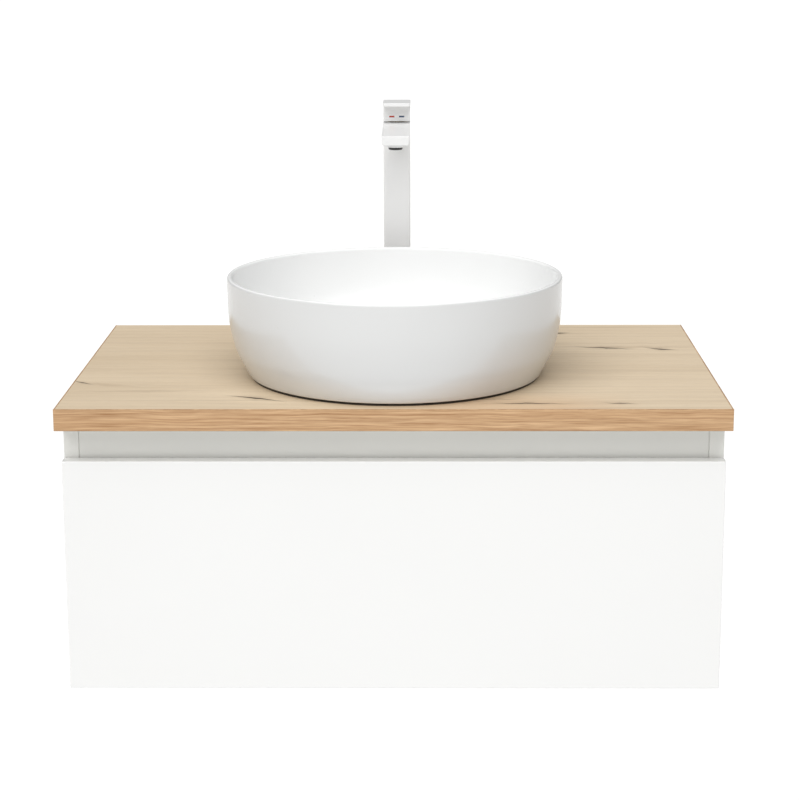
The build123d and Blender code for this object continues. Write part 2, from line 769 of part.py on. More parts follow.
# ---- cartridge: fixed and sliding ceramic discs, turning carrier and tilting spindle ----
housing_inner = 11
housing_floor = cartridge_floor + 4
disc_thickness = 3.5
disc_play = 0.1
moving_disc_bottom = housing_floor + disc_thickness + disc_play
moving_disc_radius = 7.2
outlet_port_y = 5
carrier_bottom = 265.3
carrier_radius = 10.7
spindle_size = 5
spindle_bottom = 266
spindle_top = 306
ball_height = 264.3
ball_radius = 1.9
neck_radius = 1.3
pin_radius = 1.5
pin_length = 2 * carrier_radius - 3
slot_half = 7
slot_play = 0.3
socket_play = 0.25
part_gap = 0.2
nut_inner_radius = 10.3
nut_below_top = 0.7
outlet_z_in_cartridge = 278

with BuildPart() as tap_cartridge_housing:
    tap_ring(cartridge_floor, nut_bottom, cartridge_radius)
    with Locations(at_tap(housing_floor)):
        rod(housing_inner, body_height, Mode.SUBTRACT)
    with Locations(at_tap(cartridge_floor)):
        with Locations(*hose_ports):
            rod(port_radius, housing_floor - cartridge_floor, Mode.SUBTRACT)
    with Locations(Plane(origin=(0, tap_y, worktop_top + outlet_z_in_cartridge), z_dir=(0, -1, 0))):
        rod(waterway_radius, nut_radius, Mode.SUBTRACT)

with BuildPart() as tap_cartridge_nut:
    tap_ring(nut_bottom, body_height - nut_below_top, nut_radius, nut_inner_radius)

with BuildPart() as tap_fixed_disc:
    tap_ring(housing_floor, housing_floor + disc_thickness, housing_inner - disc_play)
    with Locations(at_tap(housing_floor)):
        with Locations(*hose_ports, (0, outlet_port_y)):
            rod(port_radius, disc_thickness, Mode.SUBTRACT)

with BuildPart() as tap_moving_disc:
    tap_ring(moving_disc_bottom, carrier_bottom - part_gap, moving_disc_radius)
    with Locations(at_tap(ball_height - ball_radius - disc_play)):
        rod(ball_radius + socket_play, 2 * ball_radius, Mode.SUBTRACT)

with BuildPart() as tap_carrier:
    tap_ring(carrier_bottom, nut_bottom - slot_play, carrier_radius)
    with BuildSketch(at_tap(carrier_bottom)):
        Rectangle(spindle_size + slot_play, 2 * slot_half)
    extrude(amount=nut_bottom - carrier_bottom, mode=Mode.SUBTRACT)
    with Locations(Plane(origin=(0, tap_y, worktop_top + lift_pivot), z_dir=(1, 0, 0))):
        Cylinder(pin_radius + thread_play, 3 * carrier_radius, mode=Mode.SUBTRACT)

with BuildPart() as tap_spindle:
    with BuildSketch(at_tap(spindle_bottom)):
        Rectangle(spindle_size, spindle_size)
    extrude(amount=spindle_top - spindle_bottom)
    with BuildSketch(at_tap(ball_height)):
        Circle(neck_radius)
    extrude(amount=spindle_bottom - ball_height)
    with Locations(at_tap(ball_height)):
        Sphere(ball_radius)
    with Locations(Plane(origin=(0, tap_y, worktop_top + lift_pivot), z_dir=(1, 0, 0))):
        Cylinder(pin_radius, pin_length)

# ---- handle: square block with an overhanging plate, bevelled below so that it can tilt ----
mark_width = 7
mark_height = 2.2
mark_depth = 0.8
mark_x = 6.65
mark_z = 300.3
grub_radius = 2.5
grub_z = 305
grub_length = 8
back_y = column_depth / 2
block_corner = 2
plate_side_overhang = 0.5
plate_round = 0.9
bevel_margin = 0.5
bevel_clearance = 5
spindle_fit = 0.03
spindle_end_gap = 0.5
grub_hex = 1.4
grub_hex_depth = 3
bevel_top = handle_bottom + column_depth * tan(radians(lift_angle + bevel_margin))
bevel_low = handle_bottom - bevel_clearance

with BuildPart() as tap_handle:
    with BuildSketch(at_tap(handle_bottom)):
        RectangleRounded(column_width, column_depth, block_corner)
    extrude(amount=block_top - handle_bottom)
    with BuildSketch(Plane(origin=(-column_width, tap_y, worktop_top), x_dir=(0, 1, 0), z_dir=(1, 0, 0))):
        with BuildLine():
            Polyline((0, handle_bottom), (column_depth, bevel_top), (column_depth, bevel_low),
                     (0, bevel_low), close=True)
        make_face()
    extrude(amount=2 * column_width, mode=Mode.SUBTRACT)
    with BuildSketch(at_tap(block_top)):
        with Locations((0, -plate_overhang / 2)):
            RectangleRounded(column_width + 2 * plate_side_overhang, column_depth + plate_overhang,
                             column_corner)
    extrude(amount=handle_top - block_top)
    fillet(tap_handle.faces().sort_by(Axis.Z)[-1].edges(), radius=plate_round)
    with BuildSketch(at_tap(handle_bottom)):
        Rectangle(spindle_size + 2 * spindle_fit, spindle_size + 2 * spindle_fit)
    extrude(amount=spindle_top - handle_bottom + spindle_end_gap, mode=Mode.SUBTRACT)
    drill([(0, tap_y + back_y, worktop_top + grub_z)], (0, 1, 0), grub_radius, back_y - spindle_size / 2)
    for side in (-1, 1):
        block_low = (side * mark_x - mark_width / 2, tap_y - back_y, worktop_top + mark_z - mark_height / 2)
        with Locations(block_low):
            Box(mark_width, mark_depth, mark_height, mode=Mode.SUBTRACT,
                align=(Align.MIN, Align.MIN, Align.MIN))


def temperature_mark(side):
    """Inlay on the handle's front: side -1 is the hot one and 1 the cold one."""
    with BuildPart() as mark:
        block((side * mark_x - mark_width / 2, tap_y - back_y, worktop_top + mark_z - mark_height / 2),
              (side * mark_x + mark_width / 2, tap_y - back_y + mark_depth,
               worktop_top + mark_z + mark_height / 2))
    return mark


tap_hot_mark = temperature_mark(-1)
tap_cold_mark = temperature_mark(1)

with BuildPart() as tap_grub_screw:
    grub_tip = tap_y + spindle_size / 2 + disc_play
    with Locations(Plane(origin=(0, grub_tip, worktop_top + grub_z), z_dir=(0, 1, 0))):
        rod(grub_radius - thread_play, grub_length)
    with BuildSketch(Plane(origin=(0, tap_y + spindle_size / 2 + grub_length, worktop_top + grub_z),
                           z_dir=(0, 1, 0))):
        RegularPolygon(grub_hex, 6)
    extrude(amount=grub_hex_depth, both=True, mode=Mode.SUBTRACT)

# ---- tap fixing under the worktop ----
clamp_radius = 22
clamp_metal = 3
clamp_rubber = 2
clamp_nut = 8
clamp_nut_corner = 7.4
stud_bottom = -worktop_thickness - 46
stud_top = column_foot + stud_grip - 2
slot_reach = 3
slot_width = 29
slot_length = 60


def horseshoe(lower, thickness, radius):
    """Add a half-moon clamp shape that passes the hoses at the front and the stud at the back."""
    with BuildSketch(at_tap(lower)) as shape:
        Circle(radius)
        with Locations((0, slot_reach)):
            Rectangle(slot_width, slot_length, align=(Align.CENTER, Align.MAX), mode=Mode.SUBTRACT)
        with Locations((0, stud_y)):
            Circle(stud_radius + thread_play, mode=Mode.SUBTRACT)
    extrude(shape.sketch, amount=thickness)


with BuildPart() as tap_clamp_gasket:
    horseshoe(-worktop_thickness - clamp_rubber, clamp_rubber, clamp_radius + 1)

with BuildPart() as tap_clamp_plate:
    horseshoe(-worktop_thickness - clamp_rubber - clamp_metal, clamp_metal, clamp_radius)

with BuildPart() as tap_fixing_nut:
    with BuildSketch(at_tap(-worktop_thickness - clamp_rubber - clamp_metal - clamp_nut)):
        with Locations((0, stud_y)):
            RegularPolygon(clamp_nut_corner, 6)
            Circle(stud_radius + thread_play, mode=Mode.SUBTRACT)
    extrude(amount=clamp_nut)

with BuildPart() as tap_fixing_stud:
    with BuildSketch(at_tap(stud_bottom)):
        with Locations((0, stud_y)):
            Circle(stud_radius)
    extrude(amount=stud_top - stud_bottom)

# ---- labels and files ----
pieces = {
    "worktop_board": worktop_board,
    "worktop_top_laminate": worktop_top_laminate,
    "worktop_front_edging": worktop_front_edging,
    "worktop_side_edgings": worktop_side_edgings,
    "left_side_panel": left_side_panel,
    "right_side_panel": right_side_panel,
    "bottom_panel": bottom_panel,
    "rear_hanging_rail": rear_hanging_rail,
    "rear_lower_rail": rear_lower_rail,
    "front_stretcher": front_stretcher,
    "front_rail": front_rail,
    "carcass_dowels": carcass_dowels,
    "wall_fixing_plates": wall_fixing_plates,
    "worktop_brackets": worktop_brackets,
    "cabinet_screws": cabinet_screws,
    "runner_cabinet_members": runner_cabinet_members,
    "runner_middle_members": runner_middle_members,
    "runner_drawer_members": runner_drawer_members,
    "drawer_front": drawer_front,
    "drawer_inner_front": drawer_inner_front,
    "drawer_front_screws": drawer_front_screws,
    "drawer_sides": drawer_sides,
    "drawer_backs": drawer_backs,
    "drawer_bottom": drawer_bottom,
    "drawer_trap_cover": drawer_trap_cover,
    "basin_bowl": basin_bowl,
    "basin_seal": basin_seal,
    "waste_body": waste_body,
    "waste_top_gasket": waste_top_gasket,
    "waste_bottom_gasket": waste_bottom_gasket,
    "waste_back_nut": waste_back_nut,
    "waste_guide": waste_guide,
    "waste_plug_stem": waste_plug_stem,
    "waste_plug_cap": waste_plug_cap,
    "trap_inlet_nut": trap_inlet_nut,
    "trap_inlet_pipe": trap_inlet_pipe,
    "trap_body": trap_body,
    "trap_cup": trap_cup,
    "trap_outlet_nut": trap_outlet_nut,
    "trap_outlet_pipe": trap_outlet_pipe,
    "tap_body": tap_body,
    "tap_column": tap_column,
    "tap_inlet_sockets": tap_inlet_sockets,
    "tap_base_gasket": tap_base_gasket,
    "tap_aerator_housing": tap_aerator_housing,
    "tap_aerator_insert": tap_aerator_insert,
    "tap_cartridge_housing": tap_cartridge_housing,
    "tap_cartridge_nut": tap_cartridge_nut,
    "tap_fixed_disc": tap_fixed_disc,
    "tap_moving_disc": tap_moving_disc,
    "tap_carrier": tap_carrier,
    "tap_spindle": tap_spindle,
    "tap_handle": tap_handle,
    "tap_hot_mark": tap_hot_mark,
    "tap_cold_mark": tap_cold_mark,
    "tap_grub_screw": tap_grub_screw,
    "tap_clamp_gasket": tap_clamp_gasket,
    "tap_clamp_plate": tap_clamp_plate,
    "tap_fixing_nut": tap_fixing_nut,
    "tap_fixing_stud": tap_fixing_stud,
}

for name, piece in pieces.items():
    piece.part.label = name
    export_step(piece.part, f"parts/{name}.step")
print(len(pieces), "pieces")
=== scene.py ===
import json
import math

import bpy
from mathutils import Matrix, Vector


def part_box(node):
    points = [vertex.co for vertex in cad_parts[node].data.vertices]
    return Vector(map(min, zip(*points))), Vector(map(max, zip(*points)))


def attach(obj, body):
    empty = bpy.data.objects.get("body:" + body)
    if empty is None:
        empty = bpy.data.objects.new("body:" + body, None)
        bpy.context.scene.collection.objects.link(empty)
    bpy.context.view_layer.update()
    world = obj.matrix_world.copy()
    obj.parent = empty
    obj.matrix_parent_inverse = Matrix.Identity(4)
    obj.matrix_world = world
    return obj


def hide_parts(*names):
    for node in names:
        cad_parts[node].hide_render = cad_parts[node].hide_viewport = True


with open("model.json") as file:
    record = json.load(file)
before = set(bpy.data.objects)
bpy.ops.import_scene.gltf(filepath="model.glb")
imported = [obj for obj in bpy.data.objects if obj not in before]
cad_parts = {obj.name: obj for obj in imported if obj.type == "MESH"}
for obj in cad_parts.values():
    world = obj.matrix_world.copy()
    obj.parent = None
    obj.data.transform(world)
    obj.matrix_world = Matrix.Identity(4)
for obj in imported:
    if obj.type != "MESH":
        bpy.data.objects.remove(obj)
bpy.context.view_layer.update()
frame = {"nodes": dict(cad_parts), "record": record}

SCENE = bpy.context.scene
NODES = frame["nodes"]
SLOT_OF_NODE = {row["node"]: row["material_slot"] for row in frame["record"]["subparts"]}

bowl_low, bowl_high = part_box("basin_bowl")
edging_low, edging_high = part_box("worktop_front_edging")
BASIN_AXIS_Y = (bowl_low.y + bowl_high.y) / 2
BASIN_FOOT_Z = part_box("basin_seal")[0].z
EDGING_MIDDLE = (edging_low.z + edging_high.z) / 2
EDGING_HALF = (edging_high.z - edging_low.z) / 2


# ---------------------------------------------------------------- camera
CAMERA_LENS = 91.1
CAMERA_PLACE = (0.036, -2.807, 0.6444)
CAMERA_PITCH = math.radians(-12.43)
CAMERA_YAW = math.radians(0.68)
CAMERA_ROLL = math.radians(-0.18)
CAMERA_SHIFT = -0.05
SENSOR_WIDTH = 36
NEAREST = 0.05
FARTHEST = 200


def make_camera():
    """The photograph's view: a long lens a little above the worktop, almost square on."""
    data = bpy.data.cameras.new("camera")
    data.sensor_width = SENSOR_WIDTH
    data.lens = CAMERA_LENS
    data.shift_y = CAMERA_SHIFT
    data.clip_start = NEAREST
    data.clip_end = FARTHEST
    camera = bpy.data.objects.new("camera", data)
    SCENE.collection.objects.link(camera)
    turn = Matrix.Rotation(CAMERA_YAW, 4, "Z")
    tilt = Matrix.Rotation(math.radians(90) + CAMERA_PITCH, 4, "X")
    roll = Matrix.Rotation(CAMERA_ROLL, 4, "Z")
    camera.matrix_world = Matrix.Translation(CAMERA_PLACE) @ turn @ tilt @ roll
    SCENE.camera = camera


# ---------------------------------------------------------------- node materials
# where a Mix node set to colours keeps its two inputs and its result
MIX_FIRST = 6
MIX_SECOND = 7
MIX_RESULT = 2
# the range that a noise mostly stays in
NOISE_LOW = 0.3
NOISE_HIGH = 0.7


class Finish:
    """A node material in the making: one Principled shader and what feeds it."""

    def __init__(self, name, **constants):
        self.material = bpy.data.materials.new(name)
        self.material.use_nodes = True
        self.tree = self.material.node_tree
        self.shader = self.tree.nodes["Principled BSDF"]
        self.place = self.add("ShaderNodeTexCoord").outputs["Object"]
        for socket, value in constants.items():
            self.shader.inputs[socket.replace("_", " ")].default_value = value

    def add(self, kind, **settings):
        """A new node of a kind, with its settings."""
        node = self.tree.nodes.new(kind)
        for key, value in settings.items():
            setattr(node, key, value)
        return node

    def feed(self, socket, source):
        """Links a node's output, or sets a plain value, on an input socket."""
        if isinstance(source, bpy.types.NodeSocket):
            self.tree.links.new(source, socket)
        elif isinstance(source, (tuple, list)) and len(source) == 3 and len(socket.default_value) == 4:
            socket.default_value = (*source, 1)
        else:
            socket.default_value = source

    def stretched(self, x, y, z, vector=None):
        """Object coordinates times a scale along each axis, so a scale is in cells per metre."""
        node = self.add("ShaderNodeMapping")
        self.feed(node.inputs["Vector"], self.place if vector is None else vector)
        node.inputs["Scale"].default_value = (x, y, z)
        return node.outputs["Vector"]

    def noise(self, vector, detail=3.0, roughness=0.5):
        """Cloudy noise around 0.5, one blotch to a unit of the vector."""
        node = self.add("ShaderNodeTexNoise")
        self.feed(node.inputs["Vector"], vector)
        node.inputs["Scale"].default_value = 1
        node.inputs["Detail"].default_value = detail
        node.inputs["Roughness"].default_value = roughness
        return node.outputs["Fac"]

    def cells(self, vector):
        """One random colour to each cell, about a cell to a unit of the vector."""
        node = self.add("ShaderNodeTexVoronoi", feature="F1")
        self.feed(node.inputs["Vector"], vector)
        node.inputs["Scale"].default_value = 1
        return node.outputs["Color"]

    def maths(self, operation, a, b=0.0, clamp=False):
        """One arithmetic step on two values."""
        node = self.add("ShaderNodeMath", operation=operation, use_clamp=clamp)
        self.feed(node.inputs[0], a)
        self.feed(node.inputs[1], b)
        return node.outputs[0]

    def spread(self, value, low, high, to_low=0.0, to_high=1.0):
        """Maps low..high of a value to to_low..to_high, clamped."""
        node = self.add("ShaderNodeMapRange")
        self.feed(node.inputs["Value"], value)
        for key, number in (("From Min", low), ("From Max", high), ("To Min", to_low), ("To Max", to_high)):
            node.inputs[key].default_value = number
        return node.outputs["Result"]

    def blend(self, factor, a, b):
        """A colour that goes from a to b as the factor goes from 0 to 1."""
        node = self.add("ShaderNodeMix", data_type="RGBA", blend_type="MIX", clamp_factor=True)
        self.feed(node.inputs["Factor"], factor)
        self.feed(node.inputs[MIX_FIRST], a)
        self.feed(node.inputs[MIX_SECOND], b)
        return node.outputs[MIX_RESULT]

    def axis(self, name, vector=None):
        """One coordinate of a vector, or of the object's own coordinates."""
        node = self.add("ShaderNodeSeparateXYZ")
        self.feed(node.inputs[0], self.place if vector is None else vector)
        return node.outputs[name]

    def joined(self, x, y, z):
        """A vector made of three values."""
        node = self.add("ShaderNodeCombineXYZ")
        for socket, source in zip(node.inputs, (x, y, z)):
            self.feed(socket, source)
        return node.outputs[0]

    def facing(self, axis):
        """How far the true surface faces along an axis, from -1 to 1."""
        return self.axis(axis, self.add("ShaderNodeNewGeometry").outputs["Normal"])

    def colour(self, source):
        """Sets or links the base colour."""
        self.feed(self.shader.inputs["Base Color"], source)

    def gloss(self, vector, low, high):
        """Roughness that wanders between two values."""
        wander = self.noise(vector)
        self.feed(self.shader.inputs["Roughness"], self.spread(wander, NOISE_LOW, NOISE_HIGH, low, high))

    def relief(self, *layers):
        """Bump from several (height, depth in metres) layers, one on another."""
        normal = None
        for height, depth in layers:
            node = self.add("ShaderNodeBump")
            node.inputs["Strength"].default_value = 1
            node.inputs["Distance"].default_value = depth
            self.feed(node.inputs["Height"], height)
            if normal is not None:
                self.feed(node.inputs["Normal"], normal)
            normal = node.outputs["Normal"]
        self.feed(self.shader.inputs["Normal"], normal)
        return self


def scaled(colour, factor):
    """A colour made brighter or darker."""
    return tuple(channel * factor for channel in colour)


# worktop laminate: cracks and soft streaks as (x, y, half length, half width, slope, depth)
WORKTOP_CRACKS = (
    (-0.388, -0.359, 0.020, 0.0026, -0.95, 0.90),
    (-0.166, -0.444, 0.045, 0.0042, -0.42, 1.00),
    (0.224, -0.058, 0.019, 0.0040, 0.0, 1.00),
    (0.280, -0.156, 0.050, 0.0036, -0.16, 1.00),
    (0.352, -0.163, 0.027, 0.0044, -0.40, 1.00),
    (0.160, -0.470, 0.066, 0.0027, -0.03, 1.00),
    (0.270, -0.469, 0.026, 0.0028, -0.10, 0.85),
    (0.120, -0.448, 0.050, 0.0016, 0.02, 0.50),
)
WORKTOP_STREAKS = (
    (0.300, -0.150, 0.200, 0.0080, -0.02, 0.55),
    (0.330, -0.125, 0.120, 0.0050, 0.03, 0.30),
    (0.290, -0.018, 0.210, 0.0050, 0.0, 0.45),
    (0.230, -0.062, 0.080, 0.0070, 0.0, 0.30),
    (-0.300, -0.405, 0.120, 0.0090, 0.04, 0.45),
    (-0.355, -0.372, 0.060, 0.0120, -0.30, 0.35),
    (-0.220, -0.455, 0.170, 0.0050, 0.0, 0.30),
    (-0.150, -0.120, 0.200, 0.0100, 0.02, 0.25),
    (0.260, -0.300, 0.150, 0.0160, 0.02, 0.22),
)
# how far the marks waver and the grain bends, in metres
MARK_WAVER = 0.010
GRAIN_BEND = 0.035
EDGING_BEND = 0.006
# a crack's edge, and the faint halo around it, as a multiple of the crack's width and depth
CRACK_SHARPNESS = 1.8
HALO_WIDTH = 4
HALO_DEPTH = 0.25
# the worn line at the edging's arrises: where it begins, where it is darkest, how dark
ARRIS_WIDTH = 0.0012
ARRIS_CORE = 0.0003
ARRIS_DEPTH = 0.55
OAK_PALE = (0.682, 0.559, 0.404)
OAK_DEEP = (0.606, 0.484, 0.337)
OAK_SHADE = (0.400, 0.300, 0.200)
OAK_WARM = (0.620, 0.430, 0.268)
OAK_CRACK = (0.035, 0.024, 0.015)


def grain_marks(f, marks, x, halo):
    """The strongest of several long, tapering, wavering marks along the grain, from 0 to 1."""
    waver_noise = f.noise(f.stretched(55, 3, 3), 2)
    waver = f.maths("MULTIPLY", f.maths("SUBTRACT", waver_noise, 0.5), MARK_WAVER)
    strongest = 0.0
    for cx, cy, half, width, slope, depth in marks:
        along = f.maths("SUBTRACT", x, cx)
        centre = f.maths("ADD", f.maths("MULTIPLY", along, slope), waver)
        off = f.maths("ABSOLUTE", f.maths("SUBTRACT", f.maths("SUBTRACT", f.axis("Y"), cy), centre))
        reach = f.spread(f.maths("ABSOLUTE", along), 0.0, half, 1.0, 0.0)
        core = f.maths("SUBTRACT", reach, f.maths("DIVIDE", off, width))
        mark = f.maths("MULTIPLY", core, CRACK_SHARPNESS if halo else 1.0, clamp=True)
        if halo:
            wide = f.maths("SUBTRACT", reach, f.maths("DIVIDE", off, width * HALO_WIDTH), clamp=True)
            mark = f.maths("MAXIMUM", mark, f.maths("MULTIPLY", wide, HALO_DEPTH))
        strongest = f.maths("MAXIMUM", strongest, f.maths("MULTIPLY", mark, depth))
    return strongest


def oak_laminate():
    """Worktop surface: pale oak along X, warmer at the front middle, with streaks and open cracks."""
    f = Finish("oak_laminate", Specular_IOR_Level=0.22)
    bend = f.noise(f.stretched(2.2, 7, 7), 2)
    x = f.axis("X")
    y = f.maths("ADD", f.axis("Y"), f.maths("MULTIPLY", f.maths("SUBTRACT", bend, 0.5), GRAIN_BEND))
    flow = f.joined(x, y, f.axis("Z"))
    broad = f.noise(f.stretched(1.1, 8, 8, flow), 3)
    figure = f.noise(f.stretched(3.0, 95, 95, flow), 4, 0.62)
    fibre = f.noise(f.stretched(26, 900, 900, flow), 3, 0.6)
    pores = f.noise(f.stretched(70, 1500, 1500, flow), 1)
    tone = f.blend(f.spread(broad, 0.34, 0.66), OAK_DEEP, OAK_PALE)
    warmth = f.maths("MULTIPLY", f.spread(x, -0.10, 0.10), f.spread(f.axis("Y"), -0.47, -0.41, 1.0, 0.0))
    warmth = f.maths("MULTIPLY", warmth, f.spread(x, 0.20, 0.30, 0.75, 0.0))
    tone = f.blend(warmth, tone, OAK_WARM)
    tone = f.blend(f.spread(figure, 0.42, 0.72, 0.0, 0.28), tone, OAK_SHADE)
    tone = f.blend(f.spread(fibre, 0.35, 0.70, 0.0, 0.16), tone, scaled(OAK_PALE, 1.14))
    tone = f.blend(f.spread(pores, 0.60, 0.74, 0.0, 0.22), tone, scaled(OAK_DEEP, 0.55))
    tone = f.blend(grain_marks(f, WORKTOP_STREAKS, x, False), tone, OAK_SHADE)
    crack = grain_marks(f, WORKTOP_CRACKS, x, True)
    f.colour(f.blend(crack, tone, OAK_CRACK))
    f.gloss(f.stretched(40, 220, 220), 0.44, 0.62)
    return f.relief((fibre, 0.00008), (f.maths("SUBTRACT", 1.0, crack), 0.0003))


def oak_edging():
    """Edge bands: tight, dark-streaked grain that runs along the edge."""
    f = Finish("oak_edging", Specular_IOR_Level=0.25)
    bend = f.noise(f.stretched(9, 9, 30), 2)
    z = f.maths("ADD", f.axis("Z"), f.maths("MULTIPLY", f.maths("SUBTRACT", bend, 0.5), EDGING_BEND))
    flow = f.joined(f.axis("X"), f.axis("Y"), z)
    streak = f.noise(f.stretched(10, 10, 420, flow), 3, 0.55)
    fine = f.noise(f.stretched(40, 40, 1300, flow), 2, 0.6)
    broad = f.noise(f.stretched(4, 4, 60), 2)
    tone = f.blend(f.spread(streak, 0.32, 0.68), (0.290, 0.150, 0.066), (0.640, 0.425, 0.245))
    tone = f.blend(f.spread(fine, 0.40, 0.70, 0.0, 0.40), tone, (0.66, 0.45, 0.265))
    dash = f.noise(f.stretched(22, 22, 700, flow), 1)
    tone = f.blend(f.spread(dash, 0.60, 0.74, 0.0, 0.45), tone, (0.24, 0.115, 0.045))
    tone = f.blend(f.spread(broad, 0.35, 0.65, 0.0, 0.25), tone, (0.44, 0.25, 0.120))
    # worn, darkened line along the upper and lower arrises
    nicks = f.noise(f.stretched(120, 120, 120), 2)
    from_middle = f.maths("ABSOLUTE", f.maths("SUBTRACT", f.axis("Z"), EDGING_MIDDLE))
    arris = f.spread(from_middle, EDGING_HALF - ARRIS_WIDTH, EDGING_HALF - ARRIS_CORE, 0.0, ARRIS_DEPTH)
    f.colour(f.blend(f.maths("MULTIPLY", arris, f.spread(nicks, 0.30, 0.60)), tone, (0.30, 0.165, 0.075)))
    f.gloss(f.stretched(60, 60, 300), 0.40, 0.58)
    return f.relief((streak, 0.00012), (fine, 0.00006))


def board_core():
    """Particle board, with a pale balancing sheet over its underside."""
    f = Finish("board_core", Specular_IOR_Level=0.2)
    chip = f.cells(f.stretched(180, 260, 420))
    tint = f.axis("X", chip)
    fleck = f.noise(f.stretched(900, 900, 900), 2)
    wood = f.blend(f.spread(tint, 0.0, 1.0), (0.30, 0.19, 0.10), (0.62, 0.46, 0.28))
    wood = f.blend(f.spread(fleck, 0.56, 0.70, 0.0, 0.6), wood, (0.14, 0.085, 0.045))
    sheet_noise = f.noise(f.stretched(700, 700, 700), 2)
    sheet = f.blend(sheet_noise, (0.62, 0.58, 0.52), (0.70, 0.67, 0.61))
    down = f.spread(f.facing("Z"), -0.98, -0.90, 1.0, 0.0)
    f.colour(f.blend(down, wood, sheet))
    f.gloss(f.stretched(300, 300, 300), 0.60, 0.85)
    return f.relief((tint, 0.0003), (fleck, 0.0002))


def white_gloss():
    """Lacquered drawer front: clear coat with a faint orange peel."""
    f = Finish("white_gloss", Coat_Weight=0.6, Coat_Roughness=0.04)
    drift = f.noise(f.stretched(5, 5, 5), 2)
    f.colour(f.blend(drift, (0.752, 0.752, 0.745), (0.768, 0.768, 0.761)))
    f.gloss(f.stretched(30, 30, 30), 0.07, 0.14)
    peel = f.noise(f.stretched(220, 220, 220), 2)
    wave = f.noise(f.stretched(9, 9, 9), 2)
    return f.relief((peel, 0.000006), (wave, 0.0003))


def white_melamine():
    """Cabinet and drawer boards: satin, with a fine pearl."""
    f = Finish("white_melamine", Specular_IOR_Level=0.45)
    drift = f.noise(f.stretched(7, 7, 7), 3)
    f.colour(f.blend(drift, (0.700, 0.700, 0.670), (0.730, 0.730, 0.700)))
    f.gloss(f.stretched(50, 50, 50), 0.32, 0.46)
    pearl = f.noise(f.stretched(900, 900, 900), 3)
    return f.relief((pearl, 0.00002))


def ceramic_white():
    """Bowl glaze: painted light makes it brighter inside and on the rim, painted shade makes it darker on
    the outer wall.
    """
    f = Finish("ceramic_white", Coat_Weight=0.25, Coat_Roughness=0.14)
    drift = f.noise(f.stretched(6, 6, 10), 3)
    # painted shade: a darker copy of the glaze for the outer wall; painted light: a brighter copy for the
    # inside and the rim, picked by which way the surface faces
    painted_shaded_glaze = f.blend(drift, (0.610, 0.614, 0.611), (0.632, 0.635, 0.632))
    painted_lit_glaze = f.blend(drift, (0.868, 0.872, 0.868), (0.885, 0.888, 0.884))
    from_axis = f.maths("SUBTRACT", f.axis("Y"), BASIN_AXIS_Y)
    outward = f.maths("ADD", f.maths("MULTIPLY", f.facing("X"), f.axis("X")),
                      f.maths("MULTIPLY", f.facing("Y"), from_axis))
    tone = f.blend(f.spread(outward, 0.10, 0.18), painted_lit_glaze, painted_shaded_glaze)
    speck = f.noise(f.stretched(420, 420, 420), 1)
    f.colour(f.blend(f.spread(speck, 0.79, 0.84, 0.0, 0.5), tone, (0.52, 0.50, 0.46)))
    f.gloss(f.stretched(25, 25, 25), 0.17, 0.27)
    wave = f.noise(f.stretched(18, 18, 18), 2)
    peel = f.noise(f.stretched(260, 260, 260), 2)
    return f.relief((wave, 0.0003), (peel, 0.00001))


def tap_white():
    """Powder coat of the tap."""
    f = Finish("tap_white", Coat_Weight=0.25, Coat_Roughness=0.15)
    drift = f.noise(f.stretched(14, 14, 6), 2)
    f.colour(f.blend(drift, (0.790, 0.790, 0.787), (0.815, 0.815, 0.811)))
    f.gloss(f.stretched(260, 260, 260), 0.29, 0.34)
    peel = f.noise(f.stretched(1600, 1600, 1600), 2)
    return f.relief((peel, 0.000003))


def moulding(name, dark, light, low_gloss, high_gloss, grain=900):
    """A moulded plastic or rubber: faint tone drift, gloss drift and a fine spark-eroded grain."""
    f = Finish(name)
    drift = f.noise(f.stretched(25, 25, 25), 3)
    f.colour(f.blend(drift, dark, light))
    f.gloss(f.stretched(70, 70, 70), low_gloss, high_gloss)
    return f.relief((f.noise(f.stretched(grain, grain, grain), 2), 0.00002))


def metal(name, dark, light, low_gloss, high_gloss, scratch, cell=0):
    """A bare or plated metal: tone and gloss drift, fine machining lines, and spangle where it is plated."""
    f = Finish(name, Metallic=1.0)
    drift = f.noise(f.stretched(40, 40, 40), 3)
    tone = f.blend(drift, dark, light)
    if cell:
        spangle = f.axis("X", f.cells(f.stretched(cell, cell, cell)))
        tone = f.blend(f.maths("MULTIPLY", spangle, 0.35), tone, scaled(light, 1.12))
    f.colour(tone)
    f.gloss(f.stretched(150, 150, 150), low_gloss, high_gloss)
    lines = f.noise(f.stretched(60, 60, 2600), 2)
    return f.relief((lines, scratch))


def beech():
    """Raw dowels, with fibres along X and short dark flecks."""
    f = Finish("beech")
    fibre = f.noise(f.stretched(60, 900, 900), 3)
    fleck = f.noise(f.stretched(300, 1600, 1600), 1)
    tone = f.blend(fibre, (0.48, 0.31, 0.17), (0.66, 0.47, 0.29))
    f.colour(f.blend(f.spread(fleck, 0.6, 0.72), tone, (0.30, 0.17, 0.08)))
    f.gloss(f.stretched(200, 200, 200), 0.55, 0.75)
    return f.relief((fibre, 0.0001))


